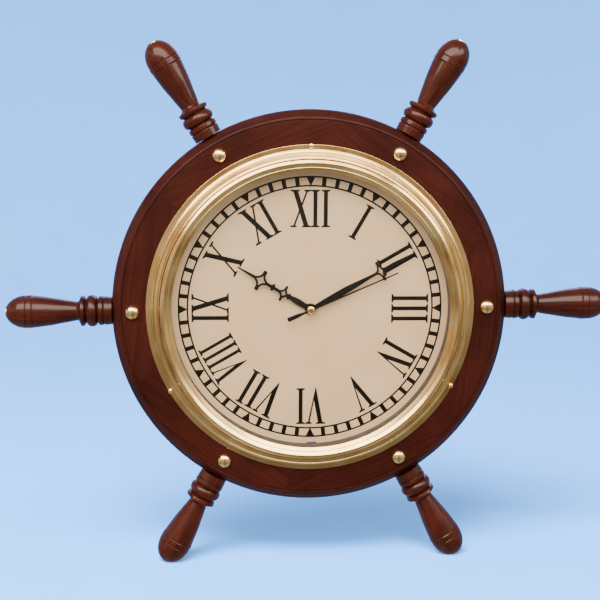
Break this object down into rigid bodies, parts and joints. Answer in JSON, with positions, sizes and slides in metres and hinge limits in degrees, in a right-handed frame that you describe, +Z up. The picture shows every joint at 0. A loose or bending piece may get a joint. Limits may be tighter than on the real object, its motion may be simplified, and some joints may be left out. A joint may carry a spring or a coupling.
{
  "type": "ship's wheel clock",
  "caption": "Ship's wheel deck clock: turned wooden handles round a wooden rim, a spun brass bezel, glass, roman dial and quartz movement with three hands.",
  "frame": {"origin": "on the surface that the clock stands on, midway between its two trimmed lower handles and midway through its thickness", "axes": "+X to the right seen from the front, across the level handles; +Y towards the back; +Z up through twelve on the dial"},
  "size_m": [0.61, 0.05, 0.5307],
  "materials": {
    "rim_wood": "dark red-brown stained hardwood under gloss lacquer",
    "handle_wood": "turned red-brown hardwood, gloss lacquer",
    "spun_brass": "spun and polished, lacquered",
    "brass_trim": "pressed and polished",
    "spacer_brass": "rolled sheet, bronzed dark and dull",
    "nut_brass": "machined",
    "glass": "clear flat glass",
    "dial_enamel": "cream eggshell with black print",
    "fibreboard": "raw medium density fibreboard",
    "steel": "zinc plated and bright steel",
    "magnet": "sintered magnet",
    "hand_black": "stamped and painted satin black",
    "case_plastic": "moulded, finely textured",
    "gear_plastic": "natural moulded acetal",
    "rubber": "matt",
    "coil_wire": "enamelled copper winding, stood in for by brass",
    "circuit": "solder-masked board",
    "cell_sleeve": "printed foil sleeve, no lettering"
  },
  "bodies": {
    "root": {"rim_segment_1": "rim_wood", "rim_segment_2": "rim_wood", "rim_segment_3": "rim_wood", "rim_segment_4": "rim_wood", "rim_segment_5": "rim_wood", "rim_segment_6": "rim_wood", "handle_030": "handle_wood", "handle_090": "handle_wood", "handle_150": "handle_wood", "handle_210": "handle_wood", "handle_270": "handle_wood", "handle_330": "handle_wood", "handle_button_030": "brass_trim", "handle_button_090": "brass_trim", "handle_button_270": "brass_trim", "handle_button_330": "brass_trim", "dome_030": "brass_trim", "dome_090": "brass_trim", "dome_150": "brass_trim", "dome_210": "brass_trim", "dome_270": "brass_trim", "dome_330": "brass_trim", "bezel_nail_1": "brass_trim", "bezel_nail_2": "brass_trim", "bezel_nail_3": "brass_trim", "bezel": "spun_brass", "glass": "glass", "spacer_ring": "spacer_brass", "dial_plate": "dial_enamel", "dial_board": "fibreboard", "board_screw_1": "steel", "board_screw_2": "steel", "board_screw_3": "steel", "hanger_plate": "steel", "hanger_screw_1": "steel", "hanger_screw_2": "steel", "movement_case": "case_plastic", "movement_back": "case_plastic", "bushing_nut": "nut_brass", "rubber_washer": "rubber", "coil": "coil_wire", "stator": "steel", "circuit_board": "circuit", "contact_spring": "steel", "contact_plate": "steel"},
    "minute_works": {"minute_hand": "hand_black", "minute_nut": "nut_brass", "minute_arbor": "steel"},
    "hour_works": {"hour_hand": "hand_black", "hour_wheel": "gear_plastic"},
    "motion_wheel": {"motion_wheel": "gear_plastic"},
    "set_knob": {"set_knob": "gear_plastic"},
    "second_works": {"second_hand": "hand_black", "second_boss": "brass_trim", "seconds_wheel": "gear_plastic"},
    "third_wheel": {"third_wheel": "gear_plastic"},
    "centre_wheel": {"centre_wheel": "gear_plastic"},
    "intermediate_wheel": {"intermediate_wheel": "gear_plastic"},
    "rotor": {"rotor": "magnet"},
    "battery": {"battery": "cell_sleeve"}
  },
  "joints": [
    {"name": "minute_turn", "type": "hinge", "parent": "root", "child": "minute_works", "pos_m": [0, 0.008, 0.264], "axis": [0, 1, 0], "continuous": true},
    {"name": "hour_turn", "type": "hinge", "parent": "root", "child": "hour_works", "pos_m": [0, 0.008, 0.264], "axis": [0, 1, 0], "continuous": true},
    {"name": "motion_wheel_turn", "type": "hinge", "parent": "root", "child": "motion_wheel", "pos_m": [0.00679, 0.008, 0.27079], "axis": [0, 1, 0], "continuous": true},
    {"name": "set_knob_turn", "type": "hinge", "parent": "root", "child": "set_knob", "pos_m": [0.01358, 0.008, 0.27758], "axis": [0, 1, 0], "continuous": true},
    {"name": "second_turn", "type": "hinge", "parent": "root", "child": "second_works", "pos_m": [0, 0.008, 0.264], "axis": [0, 1, 0], "continuous": true},
    {"name": "third_wheel_turn", "type": "hinge", "parent": "root", "child": "third_wheel", "pos_m": [-0.00935, 0.008, 0.2694], "axis": [0, 1, 0], "continuous": true},
    {"name": "centre_wheel_turn", "type": "hinge", "parent": "root", "child": "centre_wheel", "pos_m": [0, 0.008, 0.264], "axis": [0, 1, 0], "continuous": true},
    {"name": "intermediate_wheel_turn", "type": "hinge", "parent": "root", "child": "intermediate_wheel", "pos_m": [0.00779, 0.008, 0.2685], "axis": [0, 1, 0], "continuous": true},
    {"name": "rotor_turn", "type": "hinge", "parent": "root", "child": "rotor", "pos_m": [0.01608, 0.008, 0.26548], "axis": [0, 1, 0], "continuous": true},
    {"name": "battery_slide", "type": "slide", "parent": "root", "child": "battery", "axis": [0, 1, 0], "range_m": [0, 0.02]}
  ],
  "couplings": [
    {"joint": "hour_turn", "follows": "minute_turn", "ratio": 0.083333},
    {"joint": "motion_wheel_turn", "follows": "minute_turn", "ratio": -0.33333},
    {"joint": "set_knob_turn", "follows": "minute_turn", "ratio": 1},
    {"joint": "third_wheel_turn", "follows": "second_turn", "ratio": -0.13333},
    {"joint": "centre_wheel_turn", "follows": "second_turn", "ratio": 0.016667},
    {"joint": "intermediate_wheel_turn", "follows": "second_turn", "ratio": -5},
    {"joint": "rotor_turn", "follows": "second_turn", "ratio": 30}
  ]
}
